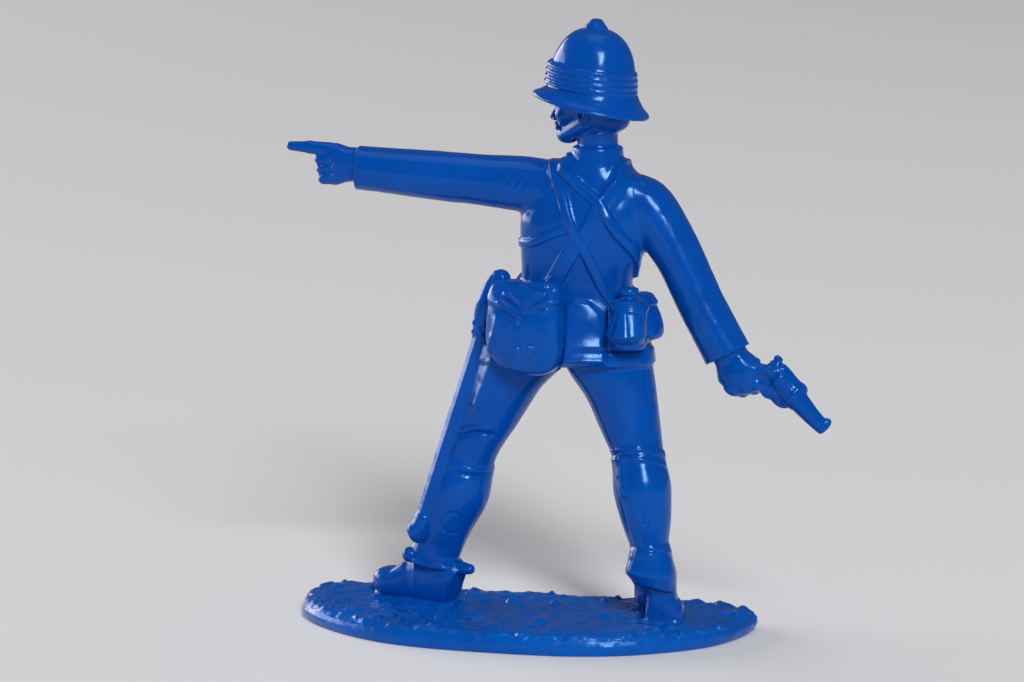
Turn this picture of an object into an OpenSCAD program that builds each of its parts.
// Toy soldier, a moulded officer in tropical dress who points with one arm
// Millimetres. X is the figure's right, Y its front and Z is up.
// The origin lies on the underside of the ground base, at its middle.

/* [Ground base] */
// Length of the base, side to side
base_l = 44.3; // [38:0.1:56]
// Depth of the base, front to back
base_w = 18.1; // [17:0.1:28]
// Thickness of the base
base_t = 2; // [1.4:0.1:4]
// How far forward of its middle the base is longest
base_skew = 5; // [0:0.5:6]
// Turn of the base under the figure
base_turn = 5; // [0:0.5:10]
// Height of the bumps in the ground
ground_relief = 0.16; // [0:0.02:0.3]

/* [Stance] */
// Height of the tunic's hem above the base
leg_h = 24; // [21:0.1:28]
// Height of the knees above the base
knee_h = 15.9; // [14:0.1:18]
// Height of the left ankle above the base
ankle_h = 4.7; // [4:0.1:6]
// Extra height of the right ankle, whose heel is raised
heel_raise = 2; // [1:0.1:3]
// Distance between the hip joints
hip_gap = 9.1; // [8.4:0.1:9.6]
// Left foot, distance to the figure's left of the middle
left_step = 8.65; // [7.5:0.05:10]
// Right foot, distance to the figure's right of the middle
right_step = 12.65; // [11:0.05:13.5]
// Left foot, distance in front of the middle
left_advance = 2.55; // [1.5:0.05:4]
// Right ankle, distance behind the middle
right_trail = 1.95; // [1:0.05:3]
// Turn of the left foot away from straight ahead
left_toe_turn = 64; // [30:1:75]
// Turn of the right foot away from straight ahead
right_toe_turn = -6; // [-15:1:20]

/* [Legs] */
// Width of a thigh at the hip
thigh_w = 7.3; // [6.4:0.1:7.8]
// Width of a knee
knee_w = 4.9; // [4.4:0.1:5.6]
// Width of a gaiter at the calf
calf_w = 5.3; // [4.6:0.1:6]
// Width of a gaiter at the ankle, seen from the front
ankle_w = 3.5; // [3:0.1:4]
// Depth of a gaiter at the ankle, seen from the side
ankle_d = 4.5; // [3.8:0.1:5]
// Length of a boot
boot_l = 9.2; // [8.2:0.1:10]
// Width of a boot at the ball of the foot
boot_w = 3.6; // [3:0.1:4.4]
// Height of a boot's toe cap
toe_h = 2.6; // [2:0.1:3]
// Length of the spur behind the heel
spur_l = 2; // [1.2:0.1:3]
// Width of the spur's strap
spur_strap_w = 0.7; // [0.5:0.05:1]

/* [Tunic] */
// Height of the skirt, hem to waist
skirt_h = 7.2; // [6:0.1:9]
// Height of the body, waist to collar
torso_h = 11.8; // [10.5:0.1:13.5]
// Width of the hem
hem_w = 16.2; // [14.5:0.1:18]
// Depth of the hem
hem_d = 8.8; // [8:0.1:10]
// Height of the hem's border
hem_band_h = 1.3; // [0.8:0.1:2]
// How far the hem's border stands out
hem_band_t = 0.22; // [0.1:0.02:0.4]
// Width of the waist
waist_w = 10.6; // [9.6:0.1:12]
// Depth of the waist
waist_d = 6.6; // [6:0.1:7.6]
// Width of the chest
chest_w = 12.4; // [11.4:0.1:13.4]
// Depth of the chest
chest_d = 7.6; // [6.8:0.1:8.6]
// Width across the shoulders
shoulder_w = 11.2; // [10:0.1:12.4]
// Depth through the shoulders
shoulder_d = 6; // [5.4:0.1:6.8]
// Sideways lean from hem to collar
lean = 2.8; // [1.5:0.1:4]
// Outer diameter of the collar
collar_d = 4.7; // [4.3:0.1:5.4]
// Height of the collar above the shoulders
collar_h = 1.2; // [0.9:0.1:1.6]
// Number of buttons down the front
button_count = 5; // [3:1:7]
// Diameter of a button
button_d = 0.8; // [0.5:0.05:1.1]

/* [Arms] */
// Reach of the left sleeve from the shoulder
left_sleeve_l = 16.6; // [14:0.1:19]
// Upward slope of the left arm
left_arm_rise = 4.5; // [0:0.5:10]
// Length of the right sleeve from the shoulder
right_sleeve_l = 15.4; // [13:0.1:17.5]
// Diameter of a sleeve at the shoulder
sleeve_top_d = 5.3; // [4.8:0.1:5.8]
// Diameter of a sleeve at the elbow
elbow_d = 4.6; // [4.2:0.1:5]
// Diameter of a cuff
cuff_d = 4.1; // [3.7:0.1:4.5]
// Thickness of a finger
finger_d = 1.1; // [0.9:0.05:1.3]
// Length of the pointing finger
finger_l = 3.7; // [3:0.1:4.6]

/* [Head and helmet] */
// Height of the head, chin to crown
head_h = 7.3; // [6.8:0.1:7.8]
// Width of the head
head_w = 5.4; // [5:0.1:5.8]
// Depth of the head, brow to back
head_d = 7; // [6.4:0.1:7.4]
// Turn of the head to the figure's left
head_turn = 78; // [30:1:85]
// Diameter of the neck
neck_d = 3.7; // [3.3:0.1:4]
// Length of the helmet's dome, front to back
dome_l = 8.3; // [7.8:0.1:9]
// Width of the helmet's dome
dome_w = 7.4; // [7:0.1:8.2]
// Height of the helmet's dome
dome_h = 6.4; // [5.6:0.1:7.4]
// Overhang of the brim beyond the dome
brim_out = 1.4; // [0.9:0.05:1.8]
// Thickness of the brim
brim_t = 0.4; // [0.3:0.05:0.6]
// Drop of the brim from front to back
brim_drop = 1.5; // [0.8:0.1:2.4]
// Backward tilt of the helmet
helmet_tilt = 4; // [0:1:10]
// Height of the cloth wound round the helmet
pagri_h = 2.2; // [1.6:0.1:2.8]
// Thickness of that cloth
pagri_t = 0.38; // [0.3:0.05:0.7]
// How much lower that cloth lies at the back
pagri_drop = 0.7; // [0:0.1:1]
// Number of its folds
pagri_folds = 4; // [3:1:5]
// Diameter of the ventilator on top
ventilator_d = 2.2; // [1.6:0.1:2.8]
// Height of the ventilator
ventilator_h = 0.85; // [0.6:0.05:1.2]

/* [Straps] */
// Width of the bottle strap and the cross strap
strap_w = 0.95; // [0.7:0.05:1.2]
// Width of the haversack's strap
wide_strap_w = 1.5; // [1.1:0.05:1.8]
// Thickness of the undermost strap
strap_t = 0.26; // [0.2:0.02:0.4]

/* [Haversack] */
// Width of the bag
bag_w = 7.6; // [6.8:0.1:8.4]
// Height of the bag
bag_h = 7.8; // [7:0.1:8.6]
// Depth of the bag
bag_d = 3.6; // [3.2:0.1:4.2]
// Thickness of the bag's flap
flap_t = 0.35; // [0.25:0.05:0.5]
// Length of the flap at its point
flap_h = 2.4; // [1.8:0.1:3.4]

/* [Water bottle and holster] */
// Diameter of the bottle
bottle_d = 3.4; // [3:0.1:4]
// Height of the bottle's body
bottle_h = 4.7; // [4:0.1:5.4]
// Diameter of the bottle's neck
bottle_neck_d = 1.9; // [1.5:0.1:2.3]
// Height of the bottle's neck
bottle_neck_h = 1; // [0.7:0.1:1.4]
// Width of the leather bands round the bottle
cradle_w = 0.6; // [0.4:0.05:0.9]
// Thickness of those bands
cradle_t = 0.18; // [0.12:0.02:0.3]
// Height of the holster
holster_h = 4.2; // [3.8:0.1:5.4]
// Width of the holster, front to back
holster_w = 3; // [2.4:0.1:3.6]
// How far the holster stands out
holster_t = 1.7; // [1.3:0.1:2.2]

/* [Sword] */
// Length of the scabbard
scabbard_l = 20.8; // [17:0.1:21.4]
// Width of the scabbard
scabbard_w = 1.7; // [1.3:0.1:2]
// Thickness of the scabbard
scabbard_t = 1.3; // [1:0.1:1.6]
// Length of the hilt
hilt_l = 6.6; // [5.6:0.1:7.6]
// Diameter of the grip
grip_d = 1.3; // [1:0.1:1.6]
// How far the guard stands out from the grip
guard_out = 0.75; // [0.5:0.05:1.1]
// How far behind the middle of the hip the sword hangs
sword_back = 0.7; // [0.3:0.1:1]
// Slant of the sword from upright
sword_slant = 18.5; // [16:0.5:21]

/* [Revolver] */
// Length of the barrel
barrel_l = 4.4; // [3:0.1:5.5]
// Diameter of the barrel
barrel_d = 1.4; // [1.1:0.05:1.6]
// Diameter of the cylinder
cylinder_d = 2.2; // [1.8:0.1:2.5]
// Length of the cylinder
cylinder_l = 2.1; // [1.7:0.1:2.6]
// Thickness of the frame
frame_t = 1.1; // [0.9:0.05:1.4]
// Length of the revolver's grip
revolver_grip_l = 3.2; // [2.6:0.1:3.8]
// Downward slope of the barrel
barrel_slope = 47; // [40:1:60]

/* [Hidden] */
plastic = "#0b56c6";

// Sides of a limb's section and of a large form's section, and faces round a small ball
limb_sides = 12;
body_sides = 22;
$fn = 8;
small_faces = 6;
// How far a piece runs into the one that carries it before it is cut to fit
root = 0.6;

// Levels and the body's middle line
hem_z = base_t + leg_h;
waist_z = hem_z + skirt_h;
collar_z = waist_z + torso_h;
knee_z = base_t + knee_h;
hem_x = 4.4;
body_y = 0.45;
neck_x = hem_x + lean;

// Joints of the legs. Each knee stands a little outside the line from hip to ankle
left_hip = [hem_x - hip_gap*0.535, body_y + 0.3, hem_z + root];
right_hip = [hem_x + hip_gap*0.465, body_y + 0.1, hem_z + root];
left_ankle = [-left_step, left_advance, base_t + ankle_h];
right_ankle = [right_step, -right_trail, base_t + ankle_h + heel_raise];
left_bow = [-0.45, 0.1, 0];
right_bow = [0.55, 0.2, 0];
left_knee = at_level(left_hip, left_ankle, knee_z) + left_bow;
right_knee = at_level(right_hip, right_ankle, knee_z) + right_bow;

// Shoulders and the line of each arm
shoulder_drop = 2.6;
left_shoulder = [neck_x - shoulder_w/2 - 0.6, body_y, collar_z - shoulder_drop];
right_shoulder = [neck_x + shoulder_w/2 - 1.5, body_y, collar_z - shoulder_drop - 0.85];
left_arm = [-cos(left_arm_rise), 0, sin(left_arm_rise)];
left_cuff = left_shoulder + left_sleeve_l*left_arm;
right_elbow = right_shoulder + right_sleeve_l*[0.262, -0.04, -0.39];
right_cuff = right_shoulder + right_sleeve_l*[0.545, -0.09, -0.935];

// Head and helmet
chin_drop = head_h*0.48;
head_pos = [neck_x - 0.6, body_y, collar_z + collar_h + chin_drop + 0.1];
helmet_z = head_h*0.13;

// Hip equipment, set on the tunic by level above the hem and angle round the body
bag_level = 3.85;
bag_angle = 247;
bag_turn = -20;
bottle_level = 1.85;
bottle_angle = 314;
holster_level = 2.5;
holster_angle = 346;
holster_turn = 66;
throat_level = 2.2;
throat_angle = 185;
sword_lean = 4;

// Revolver, set from the cuff
revolver_pos = right_cuff + [5.05, -0.4, -2.3];

// Vectors and smooth curves
function unit(v) = v/norm(v);
function mix(a, b, t) = a + (b - a)*t;
function xyz(s) = [s[0], s[1], s[2]];
// Point at level z on the line from p to q
function at_level(p, q, z) = mix(p, q, (p[2] - z)/(p[2] - q[2]));
function key(k, i) =
    let (n = len(k) - 1)
    i < 0 ? 2*k[0] - k[1] : i > n ? 2*k[n] - k[n - 1] : k[i];

// Point on a smooth curve through the keys k, for u from 0 to 1
function curve(k, u) =
    let (n = len(k) - 1, i = min(floor(u*n), n - 1), t = u*n - i)
    let (p = key(k, i - 1), q = key(k, i), r = key(k, i + 1), s = key(k, i + 2))
    q + 0.5*t*(r - p + t*(2*p - 5*q + 4*r - s + t*(3*(q - r) + s - p)));

// Sine or cosine drawn out towards a rounded square as n grows past 2
function squared(c, n) = sign(c)*pow(abs(c), 2/n);

// Ring round a station [x, y, z, half width, half depth] square to the direction along
function ring(s, along, facing, sides, n) =
    let (w = unit(cross(facing, along)), d = unit(cross(along, w)))
    [for (k = [0:sides - 1])
        let (a = 360*k/sides)
        xyz(s) + w*s[3]*squared(cos(a), n) + d*s[4]*squared(sin(a), n)];

// Rings along a smooth path through the keys, each square to the path
function sweep(keys, facing, steps, sides, n = 2) =
    let (st = [for (i = [0:steps]) curve(keys, i/steps)])
    [for (i = [0:steps])
        ring(st[i], unit(xyz(st[min(i + 1, steps)]) - xyz(st[max(i - 1, 0)])), facing, sides, n)];

// Level rings up a smooth stack of stations
function stack(keys, steps, sides, n) =
    [for (i = [0:steps]) ring(curve(keys, i/steps), [0, 0, 1], [0, 1, 0], sides, n)];

// Closed skin over rings that all have the same number of points
module skin(rings) {
    n = len(rings[0]);
    m = len(rings);
    sides = [for (j = [0:m - 2], i = [0:n - 1])
        let (a = j*n + i, b = j*n + (i + 1)%n)
        each [[a, a + n, b], [b, a + n, b + n]]];
    ends = [[for (i = [0:n - 1]) i], [for (i = [0:n - 1]) m*n - 1 - i]];
    polyhedron(points = [for (r = rings) each r], faces = concat(ends, sides), convexity = 6);
}

// Skin over rings that close on themselves
module hoop(rings) {
    n = len(rings[0]);
    m = len(rings);
    faces = [for (j = [0:m - 1], i = [0:n - 1])
        let (c = ((j + 1)%m)*n, a = j*n + i, b = j*n + (i + 1)%n)
        each [[a, c + i, b], [b, c + i, c + (i + 1)%n]]];
    polyhedron(points = [for (r = rings) each r], faces = faces, convexity = 8);
}

// Middle of a ring
function middle(r) = [for (p = r) 1]*r/len(r);
// Smaller ring a little past ring r, on the way to the next ring
function lap_ring(r, next) = let (m = middle(r), past = (middle(next) - m)*0.1)
    [for (p = r) m + (p - m)*0.5 + past];
// Solid along rings, built up from convex lengths that each run a little into the next one
module chain(rings) {
    last = len(rings) - 2;
    for (i = [0:last])
        hull()
            skin(i == last ? [rings[i], rings[i + 1]]
                : [rings[i], rings[i + 1], lap_ring(rings[i + 1], rings[i + 2])]);
}

// Ellipsoid with its middle at p and half sizes r
module ball(p, r, faces = $fn) {
    translate(p)
        scale(r)
            sphere(1, $fn = faces);
}

// Rounded bar between two balls
module bar(p, rp, q, rq) {
    hull() {
        ball(p, rp*[1, 1, 1], small_faces);
        ball(q, rq*[1, 1, 1], small_faces);
    }
}

// Ground base: a rough oval slab
rim_rows = [[0.97, -1], [0.98, 0], [1, 0.4], [0.985, 0.8], [0.945, 1]];
ground_rows = [0.85, 0.62, 0.38, 0.14];
base_square = 2.5;
base_sides = 32;
base_mid = [-0.6, -0.8];
function base_edge(a) = 1 + 0.006*sin(3*a) + 0.006*sin(5*a) + 0.005*sin(9*a);
function turned(v, a) = [v[0]*cos(a) - v[1]*sin(a), v[0]*sin(a) + v[1]*cos(a)];
function base_point(a, f) = base_mid + f*turned([base_l/2*base_edge(a)*squared(cos(a), base_square),
    base_w/2*base_edge(a)*squared(sin(a), base_square) + base_skew*pow(cos(a), 2)], -base_turn);
function bumps(p) = sin(75*p[0] + 31*p[1]) + sin(52*p[1] - 38*p[0] + 60) + sin(110*p[0] + 95*p[1] + 20);
base_rings = concat(
    [for (r = rim_rows) [for (k = [0:base_sides - 1])
        concat(base_point(360*k/base_sides, r[0]), r[1]*base_t)]],
    [for (f = ground_rows) [for (k = [0:base_sides - 1])
        let (p = base_point(360*k/base_sides, f))
        concat(p, base_t + ground_relief*(0.4 + 0.5*bumps(p)))]]);
module base_form() {
    difference() {
        skin(base_rings);
        translate([-base_l, -base_w, -2*base_t])
            cube([2*base_l, 2*base_w, 2*base_t]);
    }
}
module base() {
    color(plastic)
        base_form();
}

// Boots. The foot runs along +X from its heel and is then turned
foot_keys = [
    [-boot_l*0.25, 0, ankle_h*0.38, boot_w*0.38, ankle_h*0.42],
    [-boot_l*0.14, 0, ankle_h*0.43, boot_w*0.46, ankle_h*0.48],
    [boot_l*0.08, 0, ankle_h*0.45, boot_w*0.47, ankle_h*0.5],
    [boot_l*0.28, 0, toe_h*0.68, boot_w*0.46, toe_h*0.76],
    [boot_l*0.47, 0, toe_h*0.5, boot_w*0.5, toe_h*0.56],
    [boot_l*0.64, 0, toe_h*0.47, boot_w*0.46, toe_h*0.53],
    [boot_l*0.75, 0, toe_h*0.43, boot_w*0.26, toe_h*0.34]];
module left_boot_form() {
    translate([left_ankle[0], left_ankle[1], base_t])
        rotate(90 + left_toe_turn)
            chain(sweep(foot_keys, [0, 0, 1], 8, limb_sides, 2.7));
}
module left_boot() {
    color(plastic)
        difference() {
            left_boot_form();
            left_gaiter_form();
            base_form();
        }
}

// Raised right boot: the heel hangs over the trailing foot and the ball stands on the ground
right_heel = [right_step + 0.35, -right_trail - 0.3, base_t + heel_raise + 1.6];
right_ball = right_heel + [boot_l*0.42*sin(right_toe_turn), boot_l*0.42*cos(right_toe_turn), 0];
right_toe = right_heel + [boot_l*0.72*sin(right_toe_turn), boot_l*0.72*cos(right_toe_turn), 0];
function on_ground(p, z) = [p[0], p[1], base_t + z];
module right_boot_form() {
    chain(sweep([
        concat(right_ankle + [0, 0, 0.3], [ankle_w/2, ankle_d/2]),
        concat(mix(right_ankle, right_heel, 0.4), [ankle_w*0.59, ankle_d*0.52]),
        concat(mix(right_ankle, right_heel, 0.8), [ankle_w*0.64, ankle_d*0.52]),
        concat(right_heel + [0.1, -0.1, -0.3], [boot_w*0.53, ankle_d*0.4])], [0, 1, 0], 4, limb_sides, 2.2));
    chain(sweep([
        concat(right_heel + [0, 0.2, 0.7], [boot_w*0.5, 1.7]),
        concat(mix(right_heel, on_ground(right_ball, 1.3), 0.5) + [0, 0, 0.4], [boot_w*0.5, 1.6]),
        concat(on_ground(right_ball, toe_h*0.5), [boot_w*0.52, toe_h*0.55]),
        concat(on_ground(mix(right_ball, right_toe, 0.6), toe_h*0.44), [boot_w*0.48, toe_h*0.5]),
        concat(on_ground(right_toe, toe_h*0.4), [boot_w*0.26, toe_h*0.32])], [0, 0, 1], 7, limb_sides, 2.5));
}
module right_boot() {
    color(plastic)
        difference() {
            right_boot_form();
            right_gaiter_form();
            base_form();
        }
}

// Web that fills the room under the raised heel and carries it
web_rear = right_trail + 0.35;
module right_foot_web() {
    color(plastic)
        difference() {
            chain(sweep([
                [right_step + 1.55, 0.6 - web_rear, base_t - root, boot_w*0.52, 1.5],
                [right_step + 1.3, 0.55 - web_rear, base_t + 1, boot_w*0.52, 1.5],
                [right_step + 0.9, 0.5 - web_rear, base_t + 2.2, boot_w*0.5, 1.5],
                [right_step + 0.6, 0.5 - web_rear, right_heel[2] + 0.4, boot_w*0.47, 1.4]],
                [0, 1, 0], 6, 10, 3));
            right_boot_form();
            base_form();
        }
}

// Spur: a strap over the instep, a boss on its outer side and a blunt neck behind the heel
spur_z = base_t + ankle_h*0.84;
spur_dir = [sin(left_toe_turn), -cos(left_toe_turn), 0];
spur_side = [-cos(left_toe_turn), -sin(left_toe_turn), 0];
function spur_loop(a) =
    [left_ankle[0], left_ankle[1], spur_z - 0.4*cos(a)]
    + spur_dir*(ankle_d/2 + 0.35)*cos(a) + spur_side*(boot_w*0.47 + 0.3)*sin(a);
spur_section = [[0.35, -0.3], [0.35, 0.3], [0, 0.5], [-0.35, 0.3], [-0.35, -0.3], [0, -0.5]];
module left_spur_form() {
    hoop([for (a = [0:30:330])
        let (out = unit(spur_loop(a) - [left_ankle[0], left_ankle[1], spur_loop(a)[2]]))
        [for (q = spur_section) spur_loop(a) + out*q[0] + [0, 0, spur_strap_w*q[1]]]]);
    ball(spur_loop(128) - spur_dir*0.3 + [0, 0, 0.3], [0.75, 0.75, 0.75]);
    bar(spur_loop(0) - spur_dir*0.3, 0.75, spur_loop(0) + spur_dir*(spur_l - 0.55), 0.55);
}
module left_spur() {
    color(plastic)
        difference() {
            left_spur_form();
            left_boot_form();
            left_gaiter_form();
        }
}

// Gaiters, from below the knee to the ankle, with a turned edge at the top
module left_gaiter_form() {
    top = mix(left_knee, left_ankle, 0.17);
    chain(sweep([
        concat(top, [calf_w*0.505, calf_w*0.5]),
        concat(mix(top, left_ankle, 0.1), [calf_w*0.475, calf_w*0.48]),
        concat(mix(top, left_ankle, 0.36) + [0.45, -0.2, 0], [calf_w*0.55, calf_w*0.52]),
        concat(mix(top, left_ankle, 0.72), [calf_w*0.46, calf_w*0.42]),
        concat(mix(top, left_ankle, 0.92), [ankle_d*0.52, ankle_w*0.52]),
        concat(mix(top, left_ankle, 1.1), [ankle_d*0.54, ankle_w*0.55])], [0, 1, 0], 10, limb_sides));
}
module left_gaiter() {
    color(plastic)
        left_gaiter_form();
}
module right_gaiter_form() {
    top = mix(right_knee, right_ankle, 0.06);
    chain(sweep([
        concat(top, [calf_w*0.5, calf_w*0.5]),
        concat(mix(top, right_ankle, 0.1), [calf_w*0.485, calf_w*0.49]),
        concat(mix(top, right_ankle, 0.36) + [0.05, -0.2, 0], [calf_w*0.51, calf_w*0.52]),
        concat(mix(top, right_ankle, 0.72), [calf_w*0.43, calf_w*0.44]),
        concat(mix(top, right_ankle, 0.96), [ankle_w*0.51, ankle_d*0.5]),
        concat(mix(top, right_ankle, 1.05), [ankle_w*0.54, ankle_d*0.52])], [0, 1, 0], 10, limb_sides));
}
module right_gaiter() {
    color(plastic)
        right_gaiter_form();
}

// Breeches, from under the tunic into the gaiters
module thigh(hip, knee, ankle) {
    chain(sweep([
        concat(hip, [thigh_w*0.5, hem_d*0.38]),
        concat(mix(hip, knee, 0.3), [thigh_w*0.46, hem_d*0.37]),
        concat(mix(hip, knee, 0.66), [mix(thigh_w, knee_w, 0.6)*0.5, mix(hem_d*0.74, knee_w, 0.6)*0.5]),
        concat(knee, [knee_w*0.5, knee_w*0.51]),
        concat(mix(knee, ankle, 0.26), [knee_w*0.46, knee_w*0.47])], [0, 1, 0], 10, limb_sides));
}
module left_breeches_form() {
    thigh(left_hip, left_knee, left_ankle);
}
module right_breeches_form() {
    thigh(right_hip, right_knee, right_ankle);
}
module left_breeches() {
    color(plastic)
        difference() {
            left_breeches_form();
            left_gaiter_form();
            tunic_form();
        }
}
module right_breeches() {
    color(plastic)
        difference() {
            right_breeches_form();
            right_gaiter_form();
            left_breeches_form();
            tunic_form();
        }
}

// Tunic sections [level, middle x, middle y, half width, half depth], hem to collar
tunic_keys = [
    [hem_z, hem_x, body_y, hem_w/2, hem_d/2],
    [hem_z + skirt_h*0.5, hem_x + lean*0.08, body_y, mix(hem_w, waist_w, 0.3)/2, mix(hem_d, waist_d, 0.3)/2],
    [waist_z, hem_x + lean*0.27, body_y, waist_w/2, waist_d/2],
    [waist_z + torso_h*0.28, hem_x + lean*0.52, body_y,
        mix(waist_w, chest_w, 0.6)/2, mix(waist_d, chest_d, 0.7)/2],
    [waist_z + torso_h*0.54, hem_x + lean*0.66, body_y, chest_w/2, chest_d/2],
    [waist_z + torso_h*0.8, hem_x + lean*0.81, body_y, shoulder_w*0.485, shoulder_d/2],
    [waist_z + torso_h*0.93, hem_x + lean*0.69, body_y, shoulder_w*0.352, shoulder_d*0.43],
    [collar_z, neck_x - 0.1, body_y, collar_d*0.54, collar_d*0.46]];
tunic_square = 2.3;
function tunic_u(z) = lookup(z,
    [for (i = [0:len(tunic_keys) - 1]) [tunic_keys[i][0], i/(len(tunic_keys) - 1)]]);
function tunic_at(z) = curve(tunic_keys, tunic_u(z));
// Point of the tunic's surface at level z and angle a, moved out by t
function tunic_point(z, a, t = 0) =
    let (s = tunic_at(z))
    [s[1] + (s[3] + t)*squared(cos(a), tunic_square), s[2] + (s[4] + t)*squared(sin(a), tunic_square), z];
function tunic_ring(z, t = 0) = [for (k = [0:body_sides - 1]) tunic_point(z, 360*k/body_sides, t)];
tunic_rows = 11;
module tunic_form() {
    body_from = hem_z + hem_band_h + hem_band_t;
    skin(concat(
        [tunic_ring(hem_z, hem_band_t*0.6),
            tunic_ring(hem_z + hem_band_t, hem_band_t),
            tunic_ring(hem_z + hem_band_h, hem_band_t)],
        [for (i = [0:tunic_rows]) tunic_ring(mix(body_from, collar_z, i/tunic_rows))]));
}
module tunic() {
    color(plastic)
        tunic_form();
}

// Stand collar, open for the neck
module collar() {
    color(plastic)
        difference() {
            translate([neck_x, body_y, collar_z])
                rotate_extrude($fn = 48)
                    polygon([[neck_d/2, -2.2], [collar_d/2 + 0.35, -2.2], [collar_d/2 + 0.1, -0.6],
                        [collar_d/2, collar_h - 0.15], [collar_d/2 - 0.15, collar_h], [neck_d/2, collar_h]]);
            tunic_form();
        }
}

// Buttons down the front, one loose solid for each
module tunic_buttons() {
    top = collar_z - 1.6;
    pitch = (top - waist_z - 0.6)/(button_count - 1);
    color(plastic)
        difference() {
            for (i = [0:button_count - 1])
                hull() {
                    ball(tunic_point(top - i*pitch, 90, 0.12), button_d*[0.5, 0.24, 0.5], small_faces);
                    ball(tunic_point(top - i*pitch, 90, -0.2), button_d*[0.5, 0.24, 0.5], small_faces);
                }
            tunic_form();
            haversack_strap_form();
            bottle_strap_form();
            cross_strap_form();
            side_strap_form();
        }
}

// Sleeves
module left_sleeve_form() {
    chain(sweep([
        concat(left_shoulder - 2.2*left_arm - [0, 0, 0.2], [sleeve_top_d*0.5, sleeve_top_d*0.48]),
        concat(mix(left_shoulder, left_cuff, 0.05), [sleeve_top_d*0.49, sleeve_top_d*0.47]),
        concat(mix(left_shoulder, left_cuff, 0.28), [elbow_d*0.52, elbow_d*0.5]),
        concat(mix(left_shoulder, left_cuff, 0.55), [elbow_d*0.5, elbow_d*0.5]),
        concat(mix(left_shoulder, left_cuff, 0.8),
            [mix(elbow_d, cuff_d, 0.6)/2, mix(elbow_d, cuff_d, 0.6)/2]),
        concat(left_cuff, [cuff_d/2, cuff_d/2])], [0, 1, 0], 10, limb_sides));
}
module left_sleeve() {
    color(plastic)
        difference() {
            left_sleeve_form();
            tunic_form();
        }
}
module right_sleeve_form() {
    chain(sweep([
        concat(right_shoulder + [-1, 0, 0.35], [sleeve_top_d*0.36, sleeve_top_d*0.44]),
        concat(right_shoulder + [0.6, 0, -0.8], [sleeve_top_d*0.45, sleeve_top_d*0.49]),
        concat(mix(right_shoulder, right_elbow, 0.55) + [0.1, 0, 0], [elbow_d*0.53, elbow_d*0.53]),
        concat(right_elbow, [elbow_d*0.49, elbow_d*0.5]),
        concat(mix(right_elbow, right_cuff, 0.5), [elbow_d*0.475, elbow_d*0.48]),
        concat(right_cuff, [cuff_d*0.54, cuff_d*0.52])], [0, 1, 0], 10, limb_sides));
}
module right_sleeve() {
    color(plastic)
        difference() {
            right_sleeve_form();
            tunic_form();
        }
}

// Left hand: the first finger points, the others curl forward over the palm
fd = finger_d/2;
left_palm = left_cuff + [0, 0, 0.28];
left_knuckle = left_palm + [-2.7, 0, 1.35];
module left_hand() {
    color(plastic)
        difference() {
            union() {
                chain(sweep([
                    concat(left_palm + [root, 0, 0], [cuff_d*0.39, cuff_d*0.34]),
                    concat(left_palm + [-0.9, 0, 0], [cuff_d*0.4, cuff_d*0.32]),
                    concat(left_palm + [-2.1, 0.1, 0], [cuff_d*0.48, cuff_d*0.27]),
                    concat(left_palm + [-3.3, 0.25, 0], [cuff_d*0.41, cuff_d*0.23])],
                    [0, 1, 0], 4, limb_sides, 2.4));
                bar(left_knuckle, fd*1.25, left_knuckle + [-finger_l*0.5, 0, 0.2], fd*1.05);
                bar(left_knuckle + [-finger_l*0.5, 0, 0.2], fd*1.05,
                    left_knuckle + [-finger_l, 0, 0.3], fd*0.8);
                for (i = [1:3]) {
                    bend = left_knuckle + [-1 + i*0.16, -0.1, -i*finger_d*0.82];
                    bar(left_knuckle + [0.3, 0, -i*finger_d*0.8], fd*1.05, bend, fd*0.95);
                    bar(bend, fd*0.95, bend + [0.5, 1.15, -0.1], fd*0.9);
                }
                bar(left_palm + [-1, 0.9, 0.7], fd*1.1, left_palm + [-2.9, 1.3, 0.3], fd*0.9);
            }
            left_sleeve_form();
        }
}

// Right hand closed round the revolver's grip
right_arm = unit(right_cuff - right_elbow);
right_palm = right_cuff + [1.6, -0.1, -1.8];
module right_hand() {
    color(plastic)
        difference() {
            union() {
                chain(sweep([
                    concat(right_cuff - root*right_arm, [cuff_d*0.38, cuff_d*0.36]),
                    concat(mix(right_cuff, right_palm, 0.35), [cuff_d*0.4, cuff_d*0.36]),
                    concat(right_palm, [cuff_d*0.47, cuff_d*0.4]),
                    concat(right_palm + [0.9, 0.2, -0.7], [cuff_d*0.36, cuff_d*0.34])],
                    [0, 1, 0], 4, limb_sides, 2.3));
                for (i = [0:2]) {
                    root_p = right_palm + [-0.95 + i*1.05, -0.8, -1.25 + i*0.25];
                    bar(root_p, fd*1.2, root_p + [0.75, 0.75, -0.25], fd*1.1);
                    bar(root_p + [0.75, 0.75, -0.25], fd*1.1, root_p + [0.9, 1.9, 0.35], fd*0.95);
                }
                bar(right_palm + [0.7, -0.9, 0.6], fd*1.15, right_palm + [2.2, -0.85, 0.65], fd*0.95);
            }
            right_sleeve_form();
            revolver_frame_form();
        }
}

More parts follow.
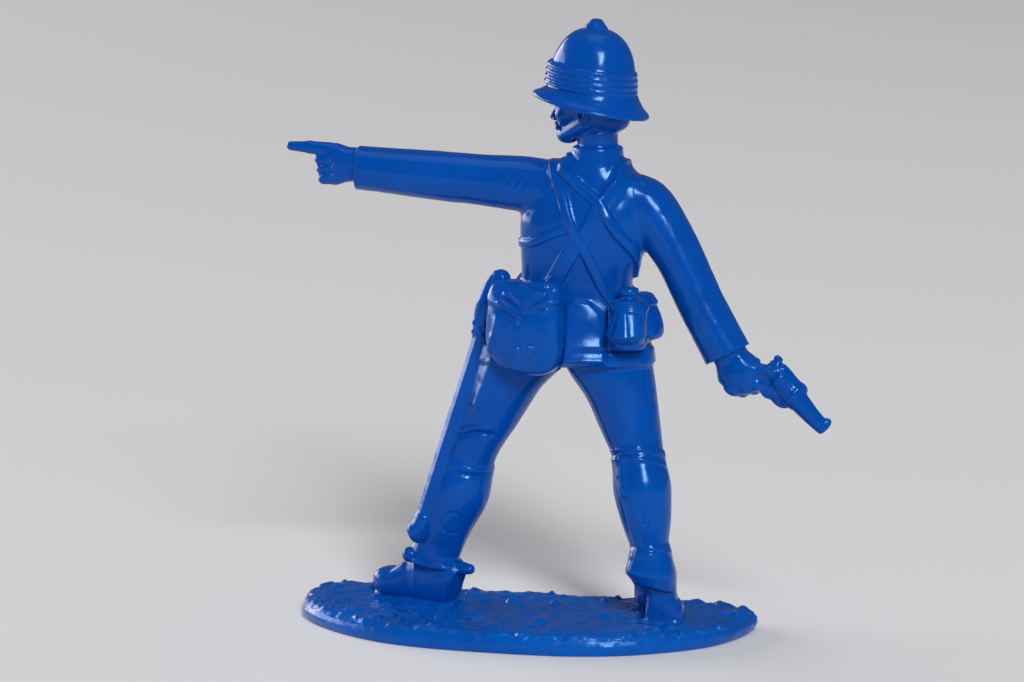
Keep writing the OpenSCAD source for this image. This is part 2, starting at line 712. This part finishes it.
// Head in its own frame: the face looks along +Y and the origin lies between the ears
hw = head_w/2;
hd = head_d/2;
face_y = hd - 0.15;
module head_place() {
    translate(head_pos)
        rotate(head_turn)
            children();
}
module head_form() {
    head_place() {
        hull() {
            ball([0, -0.2, head_h*0.1], [hw, hd, head_h*0.41], 10);
            ball([0, 0.3, head_h*0.07], [hw*0.9, hd - 0.3, head_h*0.33], 10);
        }
        ball([0, -hd*0.55, -head_h*0.16], [hw*0.72, hd*0.5, head_h*0.17], 10);
        hull() {
            ball([0, face_y - 1.6, -head_h*0.05], [hw*0.82, 1.5, head_h*0.26], 10);
            ball([0, face_y - 1.1, -chin_drop + 0.75], [hw*0.5, 0.95, 0.75], 10);
        }
        hull()
            for (s = [-1, 1]) {
                ball([s*hw*0.74, -0.1, -head_h*0.18], [0.5, 0.8, 1], small_faces);
                ball([s*hw*0.26, face_y - 0.85, -chin_drop + 0.75], [0.6, 0.7, 0.65], small_faces);
            }
        for (s = [-1, 1]) {
            hull() {
                ball([s*hw*0.9, -0.15, -0.1], [0.46, 0.55, 0.6], small_faces);
                ball([s*hw*0.86, 0, -0.95], [0.47, 0.35, 0.4], small_faces);
            }
            hull() {
                ball([0, face_y + 0.1, -head_h*0.24], [0.35, 0.3, 0.28], small_faces);
                ball([s*0.95, face_y - 0.3, -head_h*0.27], [0.35, 0.28, 0.22], small_faces);
            }
            hull() {
                ball([s*0.25, face_y - 0.12, head_h*0.065], [0.4, 0.25, 0.25], small_faces);
                ball([s*1.35, face_y - 0.55, head_h*0.075], [0.4, 0.3, 0.22], small_faces);
            }
        }
        hull() {
            ball([0, face_y - 0.15, head_h*0.04], [0.3, 0.25, 0.3], small_faces);
            ball([0, face_y + 0.5, -head_h*0.14], [0.35, 0.3, 0.28], small_faces);
        }
        hull() {
            ball([0, face_y - 0.3, -head_h*0.325], [0.8, 0.35, 0.2], small_faces);
            ball([0, face_y - 0.45, -head_h*0.36], [0.6, 0.3, 0.2], small_faces);
        }
    }
    hull() {
        translate([neck_x, body_y, collar_z - root])
            cylinder(h = 0.4, d = neck_d, $fn = 24);
        translate([neck_x, body_y, collar_z + collar_h + 0.2])
            cylinder(h = 0.4, d = neck_d, $fn = 24);
    }
    hull() {
        translate([neck_x, body_y, collar_z + collar_h])
            cylinder(h = 0.4, d = neck_d, $fn = 24);
        head_place()
            ball([0, -0.4, 0], [neck_d*0.52, neck_d*0.55, 1]);
    }
}
module head() {
    color(plastic)
        difference() {
            head_form();
            tunic_form();
        }
}

// Helmet rows [share of the dome's radius, added overhang, level, drop at the back]
dome_rows = 7;
dome_foot = 0.9;
helmet_rows = concat(
    [[0.7, 0, 0.55, 0], [0.97, 0, 0.3, 0.4], [1, brim_out*0.9, -brim_t*0.6, brim_drop],
        [1, brim_out, -brim_t*0.1, brim_drop], [1, brim_out*0.9, brim_t*0.4, brim_drop],
        [1, brim_out*0.3, dome_foot*0.62, brim_drop*0.45]],
    [for (i = [0:dome_rows])
        let (u = i/dome_rows*0.985, z = mix(dome_foot, dome_h, pow(u, 0.85)))
        [dome_share(z), 0, z, 0]]);
function dome_share(z) = pow(max(1 - pow(max(z, 0)/dome_h, 2.5), 0.0004), 1/2.4);
function helmet_ring(r) = [for (k = [0:body_sides - 1])
    let (a = 360*k/body_sides)
    [(dome_w/2*r[0] + r[1]*0.75)*cos(a), (dome_l/2*r[0] + r[1])*sin(a), r[2] - r[3]*(1 - sin(a))/2]];
module helmet_place() {
    head_place()
        translate([0, 0, helmet_z])
            rotate([helmet_tilt, 0, 0])
                children();
}
module helmet_form() {
    helmet_place()
        skin([for (r = helmet_rows) helmet_ring(r)]);
}
module helmet() {
    color(plastic)
        difference() {
            helmet_form();
            head_form();
        }
}

// Folded cloth round the helmet: a ribbed hoop that follows the dome
pagri_from = dome_foot + 0.1;
pagri_steps = 2*pagri_folds;
function pagri_row(a) = concat(
    [[-pagri_t, 0], [-pagri_t, pagri_h]],
    [for (i = [0:pagri_steps])
        let (v = 1 - i/pagri_steps)
        [pagri_t*(0.45 + 0.55*abs(sin(180*v*pagri_folds + 25*sin(a)))), v*pagri_h]]);
module pagri() {
    color(plastic)
        difference() {
            helmet_place()
                hoop([for (k = [0:body_sides - 1])
                    let (a = 360*(k + 0.5)/body_sides)
                    [for (p = pagri_row(a))
                        let (z = pagri_from + p[1] - pagri_drop*(1 - sin(a))/2, f = dome_share(z))
                        [(dome_w/2*f + p[0])*cos(a), (dome_l/2*f + p[0])*sin(a), z]]]);
            helmet_form();
        }
}

// Ventilator: a low cone with a blunt top
module ventilator() {
    r = ventilator_d/2;
    color(plastic)
        difference() {
            helmet_place()
                translate([0, 0, dome_h - 0.35])
                    rotate_extrude($fn = 40)
                        polygon([[0, -0.3], [r, -0.3], [r, 0.25], [r*0.92, 0.45], [r*0.62, ventilator_h],
                            [r*0.5, ventilator_h + 0.2], [r*0.3, ventilator_h + 0.32],
                            [0, ventilator_h + 0.35]]);
            helmet_form();
        }
}

// Strap along way points [level above the hem, angle] on the tunic, standing out by t
module strap(way, width, t, steps) {
    path = [for (i = [0:steps]) curve(way, i/steps)];
    spots = [for (p = path) tunic_point(hem_z + p[0], p[1])];
    outer = [for (p = path) tunic_point(hem_z + p[0], p[1], 1)];
    chain([for (i = [0:steps])
        let (along = unit(spots[min(i + 1, steps)] - spots[max(i - 1, 0)]))
        let (side = unit(cross(along, outer[i] - spots[i])), out = cross(side, along))
        [for (q = [[0.5, -root], [0.5, t*0.55], [0.3, t], [-0.3, t], [-0.5, t*0.55], [-0.5, -root]])
            spots[i] + side*width*q[0] + out*q[1]]]);
}

// Strap routes run over a shoulder and round the body
bottle_way = [[5.2, 318], [7, 303], [9.3, 284], [11.2, 272], [13.2, 263], [16, 248], [18, 222], [18.45, 190],
    [18.2, 160], [16.6, 128], [13.4, 104], [10, 70], [6.8, 30], [5.6, 0], [5.2, -42]];
cross_way = [[8.4, 358], [9.4, 346], [12.2, 303], [15, 281], [16.5, 266], [17.8, 249], [18.85, 215],
    [19.05, 180], [18.7, 150], [16.8, 104], [14.2, 76], [10.2, 38], [8.6, 14], [8.4, -2]];
haversack_way = [[6.6, 240], [7.8, 254], [11, 267], [12.5, 275], [14.6, 283], [16.4, 296], [18, 326],
    [18.3, 360], [17.6, 388], [15, 422], [12, 444], [8.8, 492], [7, 540], [6.4, 580], [6.6, 600]];
side_way = [[12.8, 262], [12.2, 246], [11.3, 222], [11.1, 184], [11.4, 140], [12, 112]];
upper_t = strap_t*1.35;
strap_steps = 17;
module haversack_strap_form() {
    strap(haversack_way, wide_strap_w, strap_t, strap_steps);
}
module bottle_strap_form() {
    strap(bottle_way, strap_w, upper_t, strap_steps);
}
module cross_strap_form() {
    strap(cross_way, strap_w, upper_t, strap_steps);
}
module side_strap_form() {
    strap(side_way, strap_w*0.8, strap_t*0.8, 10);
}
module shoulder_cuts() {
    tunic_form();
    left_sleeve_form();
    right_sleeve_form();
    translate([neck_x, body_y, collar_z - 2.2])
        cylinder(h = 4, d = collar_d + 0.7, $fn = 48);
}
module haversack_strap() {
    color(plastic)
        difference() {
            haversack_strap_form();
            shoulder_cuts();
        }
}
module bottle_strap() {
    color(plastic)
        difference() {
            bottle_strap_form();
            shoulder_cuts();
            haversack_strap_form();
        }
}
module cross_strap() {
    color(plastic)
        difference() {
            cross_strap_form();
            shoulder_cuts();
            haversack_strap_form();
            bottle_strap_form();
        }
}
module side_strap() {
    color(plastic)
        difference() {
            side_strap_form();
            shoulder_cuts();
            haversack_strap_form();
            bottle_strap_form();
            cross_strap_form();
        }
}

// Haversack: a slack bag on the left hip, in a frame whose -Y side faces outwards
bag_pos = tunic_point(hem_z + bag_level, bag_angle)
    + bag_d*0.27*[sin(bag_turn), -cos(bag_turn), 0];
module bag_place() {
    translate(bag_pos)
        rotate(bag_turn)
            children();
}
function bag_rings(t) = stack([
    [0, 0.5, -bag_h*0.5, bag_w*0.22 + t, bag_d*0.2 + t],
    [0, 0.2, -bag_h*0.44, bag_w*0.4 + t, bag_d*0.38 + t],
    [0, 0, -bag_h*0.26, bag_w*0.49 + t, bag_d*0.5 + t],
    [0, 0, 0, bag_w*0.5 + t, bag_d*0.5 + t],
    [0, 0.1, bag_h*0.26, bag_w*0.48 + t, bag_d*0.45 + t],
    [0, 0.4, bag_h*0.44, bag_w*0.45 + t, bag_d*0.34 + t],
    [0, 0.7, bag_h*0.5 + t, bag_w*0.38 + t, bag_d*0.2 + t]], 9, 16, 3);
module haversack_form() {
    bag_place()
        chain(bag_rings(0));
}
module hip_cuts() {
    tunic_form();
    left_breeches_form();
    haversack_strap_form();
    bottle_strap_form();
    side_strap_form();
}
module haversack() {
    color(plastic)
        difference() {
            haversack_form();
            hip_cuts();
        }
}

// Flap that closes the bag, drawn down to a point
module haversack_flap_form() {
    bag_place()
        intersection() {
            union()
                chain(bag_rings(flap_t));
            rotate([90, 0, 0])
                linear_extrude(height = 2*bag_d, center = true)
                    polygon([[-bag_w, bag_h], [-bag_w, bag_h*0.5 - flap_h*0.4],
                        [-bag_w*0.06, bag_h*0.5 - flap_h], [bag_w*0.04, bag_h*0.5 - flap_h],
                        [bag_w, bag_h*0.5 - flap_h*0.35], [bag_w, bag_h]]);
        }
}
module haversack_flap() {
    color(plastic)
        difference() {
            haversack_flap_form();
            haversack_form();
            hip_cuts();
        }
}

// Water bottle on the right hip: a turned body in two leather bands
br = bottle_d/2;
bottle_pos = tunic_point(hem_z + bottle_level, bottle_angle)
    + bottle_d*0.3*[cos(bottle_angle - 8), sin(bottle_angle - 8), 0];
module bottle_form() {
    translate(bottle_pos)
        rotate_extrude($fn = 48)
            polygon([[0, 0], [br*0.78, 0], [br*0.94, 0.22], [br, 0.6], [br, bottle_h - 0.7],
                [br*0.93, bottle_h - 0.3], [br*0.75, bottle_h - 0.06],
                [bottle_neck_d*0.45, bottle_h], [0, bottle_h]]);
}
module water_bottle() {
    color(plastic)
        difference() {
            bottle_form();
            tunic_form();
        }
}
module stopper_form() {
    nr = bottle_neck_d/2;
    translate(bottle_pos + [0, 0, bottle_h])
        rotate_extrude($fn = 40)
            polygon([[0, 0], [nr*0.86, 0], [nr*0.86, bottle_neck_h*0.35], [nr, bottle_neck_h*0.45],
                [nr, bottle_neck_h*0.85], [nr*0.85, bottle_neck_h], [0, bottle_neck_h]]);
}
module bottle_stopper() {
    color(plastic)
        difference() {
            stopper_form();
            tunic_form();
        }
}
cradle_levels = [bottle_h*0.2, bottle_h*0.82];
module cradle_form() {
    translate(bottle_pos) {
        for (z = cradle_levels)
            translate([0, 0, z - cradle_w/2])
                cylinder(h = cradle_w, r = br + cradle_t, $fn = 48);
        for (a = [200, 262, 330])
            rotate(a)
                translate([0, -cradle_w/2, cradle_levels[0]])
                    cube([br + cradle_t, cradle_w, cradle_levels[1] - cradle_levels[0]]);
    }
}
module bottle_cradle() {
    color(plastic)
        difference() {
            cradle_form();
            bottle_form();
            tunic_form();
        }
}

// Holster on the right hip, a flat pouch that swells downwards, with its flap on top
holster_pos = tunic_point(hem_z + holster_level, holster_angle)
    + holster_t*0.3*[sin(holster_turn), -cos(holster_turn), 0];
module holster_form() {
    translate(holster_pos)
        rotate(holster_turn)
            chain(stack([
                [0, 0.3, -holster_h*0.06, holster_w*0.24, holster_t*0.25],
                [0, 0, holster_h*0.02, holster_w*0.42, holster_t*0.5],
                [0, 0, holster_h*0.2, holster_w*0.5, holster_t*0.62],
                [0, 0.25, holster_h*0.5, holster_w*0.48, holster_t*0.56],
                [0, 0.6, holster_h*0.72, holster_w*0.46, holster_t*0.5],
                [0, 0.65, holster_h*0.78, holster_w*0.5, holster_t*0.6],
                [0, 0.9, holster_h*0.95, holster_w*0.42, holster_t*0.45],
                [0, 1, holster_h, holster_w*0.3, holster_t*0.3]], 8, 12, 2.6));
}
module holster() {
    color(plastic)
        difference() {
            holster_form();
            tunic_form();
            bottle_form();
            cradle_form();
            cross_strap_form();
            bottle_strap_form();
        }
}

// Sword, hung from the left hip beside the leg
sword_dir = unit([-sin(sword_slant), sin(sword_lean), -cos(sword_slant)]);
throat = tunic_point(hem_z + throat_level, throat_angle) - [scabbard_w*0.2, sword_back, 0];
hilt_top = throat - hilt_l*sword_dir;
scabbard_tip = throat + scabbard_l*sword_dir;
sword_out = unit(cross(sword_dir, [0, 1, 0]));
module scabbard_form() {
    chain(sweep([
        concat(throat - 0.2*sword_dir, [scabbard_w*0.52, scabbard_t*0.52]),
        concat(mix(throat, scabbard_tip, 0.1), [scabbard_w*0.5, scabbard_t*0.5]),
        concat(mix(throat, scabbard_tip, 0.5), [scabbard_w*0.48, scabbard_t*0.5]),
        concat(mix(throat, scabbard_tip, 0.9), [scabbard_w*0.42, scabbard_t*0.45]),
        concat(scabbard_tip, [scabbard_w*0.3, scabbard_t*0.35])], [0, 1, 0], 8, 12, 2.4));
}
module sword_cuts() {
    tunic_form();
    left_breeches_form();
    left_gaiter_form();
    haversack_form();
    haversack_flap_form();
}
module scabbard() {
    color(plastic)
        difference() {
            scabbard_form();
            sword_cuts();
            left_boot_form();
            left_spur_form();
        }
}
module chape_form() {
    end = scabbard_tip - 0.9*sword_dir;
    bar(end - 0.9*sword_dir, scabbard_w*0.52, end + 0.7*sword_dir, scabbard_w*0.46);
    bar(end - 0.2*sword_dir, scabbard_w*0.5, end + 0.3*sword_dir - 0.35*sword_out, scabbard_w*0.5);
}
module chape() {
    color(plastic)
        difference() {
            chape_form();
            scabbard_form();
            sword_cuts();
            left_boot_form();
            left_spur_form();
        }
}

// Sword hilt: a swelling grip with its pommel, and a closed guard bowed out from it
module sword_grip_form() {
    chain(sweep([
        concat(hilt_top - 0.1*sword_dir, [grip_d*0.3, grip_d*0.3]),
        concat(hilt_top + 0.3*sword_dir, [grip_d*0.62, grip_d*0.6]),
        concat(hilt_top + 0.9*sword_dir, [grip_d*0.62, grip_d*0.6]),
        concat(hilt_top + 1.4*sword_dir, [grip_d*0.46, grip_d*0.46]),
        concat(mix(hilt_top, throat, 0.5), [grip_d*0.52, grip_d*0.52]),
        concat(mix(hilt_top, throat, 0.96), [grip_d*0.46, grip_d*0.46])], [0, 1, 0], 9, 12));
}
module sword_grip() {
    color(plastic)
        difference() {
            sword_grip_form();
            sword_cuts();
            scabbard_form();
        }
}
// How far the guard's edge stands from the grip's axis, u from the pommel to the throat
function guard_reach(u) = grip_d*0.6 + guard_out*pow(max(sin(180*u), 0), 0.6);
// Station of the guard, which fills the room between that edge and the axis
function guard_key(u) = concat(
    mix(hilt_top + 0.4*sword_dir, throat - 0.2*sword_dir, u) - sword_out*guard_reach(u)/2,
    [guard_reach(u)/2, 0.4 + 0.75*sin(180*u)]);
guard_steps = 6;
module sword_guard() {
    color(plastic)
        difference() {
            union() {
                chain(sweep([for (i = [0:guard_steps]) guard_key(i/guard_steps)], [0, 1, 0], guard_steps, 8));
                hull() {
                    ball(throat - 0.25*sword_dir, [1.1, 1, 0.4]);
                    ball(throat - 0.25*sword_dir - 0.7*sword_out, [0.5, 0.8, 0.35]);
                }
            }
            sword_grip_form();
            scabbard_form();
            sword_cuts();
        }
}

// Revolver, built along +X with its sights on +Z
module revolver_place() {
    translate(revolver_pos)
        rotate([0, barrel_slope, 0])
            children();
}
cylinder_from = -0.5;
cylinder_to = cylinder_from + cylinder_l;
function guard_loop(a) = [1.1 + 0.95*cos(a), 0, -cylinder_d*0.42 - 0.75*sin(a)];
module revolver_frame_form() {
    revolver_place() {
        hull() {
            ball([cylinder_from - 0.9, 0, 0.1], [0.5, frame_t*0.5, 0.9]);
            ball([cylinder_from - 0.2, 0, 0], [0.3, frame_t*0.55, cylinder_d*0.5], small_faces);
        }
        hull() {
            ball([cylinder_from - 0.4, 0, cylinder_d*0.5], [0.3, frame_t*0.4, 0.3], small_faces);
            ball([cylinder_to + 0.2, 0, cylinder_d*0.46], [0.3, frame_t*0.4, 0.3], small_faces);
        }
        hull() {
            ball([cylinder_from - 0.4, 0, -cylinder_d*0.46], [0.3, frame_t*0.4, 0.35], small_faces);
            ball([cylinder_to + 0.2, 0, -cylinder_d*0.4], [0.3, frame_t*0.4, 0.35], small_faces);
        }
        hull() {
            ball([cylinder_to + 0.1, 0, cylinder_d*0.4], [0.35, frame_t*0.45, 0.35], small_faces);
            ball([cylinder_to + 0.15, 0, -cylinder_d*0.35], [0.35, frame_t*0.45, 0.35], small_faces);
        }
        hull() {
            ball([cylinder_from - 0.9, 0, -0.3], [0.55, frame_t*0.5, 0.6]);
            ball([cylinder_from - 1.2, 0, -1.3], [0.5, frame_t*0.48, 0.5]);
        }
        hull() {
            ball([cylinder_from - 1.2, 0, -1.3], [0.5, frame_t*0.48, 0.5]);
            ball([cylinder_from - 2.1, 0, -revolver_grip_l], [0.65, frame_t*0.55, 0.5]);
        }
        hull() {
            for (a = [0:60:180])
                ball(guard_loop(a), [0.24, 0.32, 0.24], small_faces);
            ball([cylinder_from - 1.2, 0, -1.1], [0.4, 0.32, 0.4], small_faces);
        }
    }
}
module revolver_frame() {
    color(plastic)
        revolver_frame_form();
}
module cylinder_form() {
    revolver_place()
        translate([cylinder_from, 0, 0])
            rotate([0, 90, 0])
                cylinder(h = cylinder_l, d = cylinder_d, $fn = 24);
}
module revolver_cylinder() {
    flute_r = 0.32;
    color(plastic)
        difference() {
            cylinder_form();
            revolver_place()
                for (k = [0:5])
                    rotate([60*k, 0, 0])
                        translate([cylinder_from + cylinder_l*0.35, 0, cylinder_d*0.5 + flute_r*0.45])
                            rotate([0, 90, 0])
                                cylinder(h = cylinder_l, r = flute_r, $fn = 13);
            revolver_frame_form();
        }
}
module revolver_barrel() {
    from = cylinder_to + 0.1;
    sight_d = barrel_d*0.6;
    color(plastic)
        difference() {
            revolver_place() {
                translate([from, 0, 0.1])
                    rotate([0, 90, 0])
                        cylinder(h = barrel_l, d1 = barrel_d*1.55, d2 = barrel_d*0.92, $fn = 20);
                translate([from + barrel_l - sight_d*0.6, 0, barrel_d*0.45 + 0.1])
                    sphere(d = sight_d, $fn = 12);
            }
            cylinder_form();
            revolver_frame_form();
        }
}
module revolver_hammer() {
    color(plastic)
        difference() {
            revolver_place() {
                bar([cylinder_from - 0.8, 0, 0.5], 0.5, [cylinder_from - 1.3, 0, 0.6], 0.42);
                bar([cylinder_from - 1.3, 0, 0.6], 0.42, [cylinder_from - 1.85, 0, 0.65], 0.28);
            }
            revolver_frame_form();
        }
}

base();
left_boot();
left_spur();
left_gaiter();
left_breeches();
right_boot();
right_foot_web();
right_gaiter();
right_breeches();
tunic();
collar();
tunic_buttons();
left_sleeve();
left_hand();
right_sleeve();
right_hand();
head();
helmet();
pagri();
ventilator();
haversack();
haversack_flap();
haversack_strap();
water_bottle();
bottle_stopper();
bottle_cradle();
bottle_strap();
cross_strap();
side_strap();
holster();
scabbard();
chape();
sword_grip();
sword_guard();
revolver_frame();
revolver_cylinder();
revolver_barrel();
revolver_hammer();
